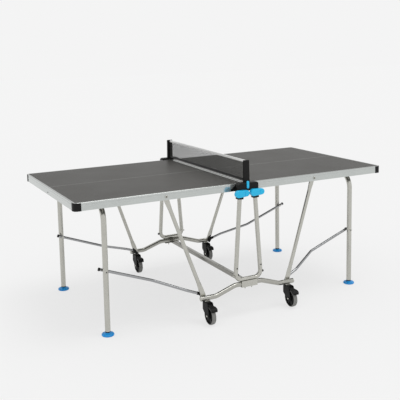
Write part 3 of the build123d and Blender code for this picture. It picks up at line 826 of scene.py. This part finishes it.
def placeStrutBolts(head, socket, tail):
    for side, _ in sides:
        node = f"{side}_strut_bolts"
        low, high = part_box(node)
        middle = (low + high) / 2
        face = high.y - middle.y - boltShape["headRise"]
        for row, sy in rows:
            outside = (middle.x, middle.y + sy * face, middle.z)
            inside = (middle.x, middle.y + sy * (face - boltShape["boltLength"]), middle.z)
            spot = f"{side}_{row}_strut"
            fasten(head, spot, outside, alongY(sy), f"{side}_half", "galvanised_steel", node)
            fasten(socket, spot, outside, alongY(sy), f"{side}_half", "dark_bolt", node)
            fasten(tail, spot, inside, alongY(sy), f"{side}_half", "galvanised_steel", node)


def placeLegBolts(head, socket):
    for side, _ in sides:
        pivot = jointSpots[f"{side}_rod_turn"]
        low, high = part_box(f"{side}_leg_frame")
        for row, sy in rows:
            edge = high.y if sy > 0 else low.y
            place = (pivot[0], edge - sy * boltShape["sink"], pivot[2])
            spot = f"{side}_{row}_leg"
            fasten(head, spot, place, alongY(sy), f"{side}_leg_pair", "galvanised_steel")
            fasten(socket, spot, place, alongY(sy), f"{side}_leg_pair", "dark_bolt")


def placeAxleCaps(cap):
    for side, _ in sides:
        for row, _ in rows:
            castor = f"{side}_{row}"
            low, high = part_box(f"{castor}_castor_fork")
            axle = middleOf(f"{castor}_wheel")
            for end, x, way in (("in", low.x, -1), ("out", high.x, 1)):
                place = (x, axle.y, axle.z)
                body = f"{castor}_swivel"
                fasten(cap, f"{castor}_{end}", place, alongX(way), body, "galvanised_steel")


# Where the axis of a centre frame leg stands at a height
def frameAxis(height):
    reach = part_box("frame_fittings")[1].x - boltShape["stopReach"]
    return reach + (boltShape["stopHeight"] - height) * math.tan(math.radians(boltShape["splay"]))


# The two frames are alike, the far one turned half round
def placeStopNuts(nut):
    height = boltShape["stopHeight"]
    aside = boltShape["tubeRadius"] - boltShape["stopSink"]
    for row, sy in rows:
        middle = middleOf(f"{row}_centre_frame")
        for side, sx in sides:
            place = (sx * frameAxis(height) - sy * aside, middle.y, height)
            fasten(nut, f"{side}_{row}", place, alongX(-sy), "undercarriage", "dark_bolt")


def placeCatches(bush):
    height = boltShape["catchHeight"]
    foot = boltShape["tubeRadius"] - boltShape["catchDepth"] - boltShape["catchSink"]
    for row, sy in rows:
        middle = middleOf(f"{row}_centre_frame")
        for side, sx in sides:
            place = (sx * frameAxis(height), middle.y + sy * foot, height)
            fasten(bush, f"{side}_{row}", place, alongY(sy), "undercarriage", "black_plastic")


def placeEndScrews(screw):
    for side, sx in sides:
        low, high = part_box(f"{side}_rim")
        place = (high.x if sx > 0 else low.x, (low.y + high.y) / 2, boltShape["screwHeight"])
        fasten(screw, side, place, alongX(sx), f"{side}_half", "dark_bolt")


def placeFasteners():
    shape = boltShape
    dome, screwRise = shape["dome"], shape["screwRise"]
    head = makeHead("boltHead", shape["headRadius"], shape["headRise"], dome, shape["socket"])
    socket = makeSocket("boltSocket", shape["headRise"])
    tail = makeTail("boltTail")
    cap = makeHead("axleCap", shape["axleRadius"], shape["axleRise"], dome)
    nut = makeNut("stopNut", shape["stopRadius"], shape["stopRise"])
    bush = makeBush("catchBush")
    screw = makeHead("endScrew", shape["screwRadius"], screwRise, screwRise / 2)
    placeStrutBolts(head, socket, tail)
    placeLegBolts(head, socket)
    placeAxleCaps(cap)
    placeStopNuts(nut)
    placeCatches(bush)
    placeEndScrews(screw)
    for master in (head, socket, tail, cap, nut, bush, screw):
        bpy.data.objects.remove(master)


placeFasteners()
print("fasteners made")


# Floor, light and camera
stageLight = {
    "pale": (0.905, 0.905, 0.905),
    "glow": 0.75,
    "fill": 0.78,
    "fillColour": (1.0, 1.0, 1.0),
    "sun": 0.77,
    "sunTilt": 16,
    "sunHeading": 58,
    "sunSpread": 30,
    "floorSize": 60.0,
    "floorDrop": 0.0005,
}


# The pale surround shows to the camera and in reflections, and adds no light of its own
def seenDirectly(tree):
    path = addNode(tree, "ShaderNodeLightPath")
    seen = reckon(tree, "MAXIMUM", path.outputs["Is Camera Ray"], path.outputs["Is Glossy Ray"])
    return reckon(tree, "MAXIMUM", seen, path.outputs["Is Transmission Ray"])


def mixShaders(tree, factor, first, second, output):
    mixed = addNode(tree, "ShaderNodeMixShader")
    for socket, value in zip(mixed.inputs, (factor, first, second)):
        tree.links.new(value, socket)
    tree.links.new(mixed.outputs["Shader"], tree.nodes[output].inputs["Surface"])


def makeFloor():
    deselectAll()
    below = (0, 0, -stageLight["floorDrop"])
    bpy.ops.mesh.primitive_plane_add(size=stageLight["floorSize"], location=below)
    floor = bpy.context.object
    floor.name = "studioFloor"
    material, shader = newMaterial("studioFloor")
    tree = material.node_tree
    tree.nodes.remove(shader)
    matt = addNode(tree, "ShaderNodeBsdfDiffuse")
    glow = addNode(tree, "ShaderNodeEmission")
    for surface in (matt, glow):
        feed(tree, surface.inputs["Color"], stageLight["pale"])
    shown = reckon(tree, "MULTIPLY", seenDirectly(tree), stageLight["glow"])
    mixShaders(tree, shown, matt.outputs["BSDF"], glow.outputs["Emission"], "Material Output")
    floor.data.materials.append(material)


def makeWorld():
    world = bpy.data.worlds.new("paleStudio")
    world.use_nodes = True
    bpy.context.scene.world = world
    tree = world.node_tree
    fill = tree.nodes["Background"]
    fill.inputs["Strength"].default_value = stageLight["fill"]
    shown = addNode(tree, "ShaderNodeBackground")
    for sky, colour in ((fill, stageLight["fillColour"]), (shown, stageLight["pale"])):
        feed(tree, sky.inputs["Color"], colour)
    skies = (fill.outputs["Background"], shown.outputs["Background"])
    mixShaders(tree, seenDirectly(tree), *skies, "World Output")


def makeSun():
    deselectAll()
    turn = (math.radians(stageLight["sunTilt"]), 0, math.radians(stageLight["sunHeading"]))
    bpy.ops.object.light_add(type="SUN", rotation=turn)
    sun = bpy.context.object
    sun.name = "softKey"
    sun.data.energy = stageLight["sun"]
    sun.data.angle = math.radians(stageLight["sunSpread"])


# The camera stands front left of the table; the small shift keeps the legs upright
cameraView = {
    "place": (-2.0107, -3.8276, 1.5436),
    "azimuth": -27.2526,
    "elevation": 7.7909,
    "roll": -1.116,
    "focal": 702.37,  # in pixels of the frame
    "frame": 400.0,
    "sensor": 36.0,
    "shiftUp": -0.15,
    "reach": 200.0,
}


def makeCamera():
    view = cameraView
    data = bpy.data.cameras.new("photoCamera")
    camera = bpy.data.objects.new("photoCamera", data)
    bpy.context.scene.collection.objects.link(camera)
    turn = Euler((math.radians(90 - view["elevation"]), 0, math.radians(view["azimuth"])))
    roll = Quaternion((0, 0, 1), math.radians(view["roll"]))
    camera.rotation_mode = "QUATERNION"
    camera.rotation_quaternion = turn.to_quaternion() @ roll
    camera.location = view["place"]
    data.sensor_width = view["sensor"]
    data.lens = view["focal"] / view["frame"] * view["sensor"]
    data.shift_y = view["shiftUp"]
    data.clip_end = view["reach"]
    bpy.context.scene.camera = camera


makeFloor()
makeWorld()
makeSun()
makeCamera()
bpy.context.scene.view_settings.view_transform = "Standard"
print("stage set")
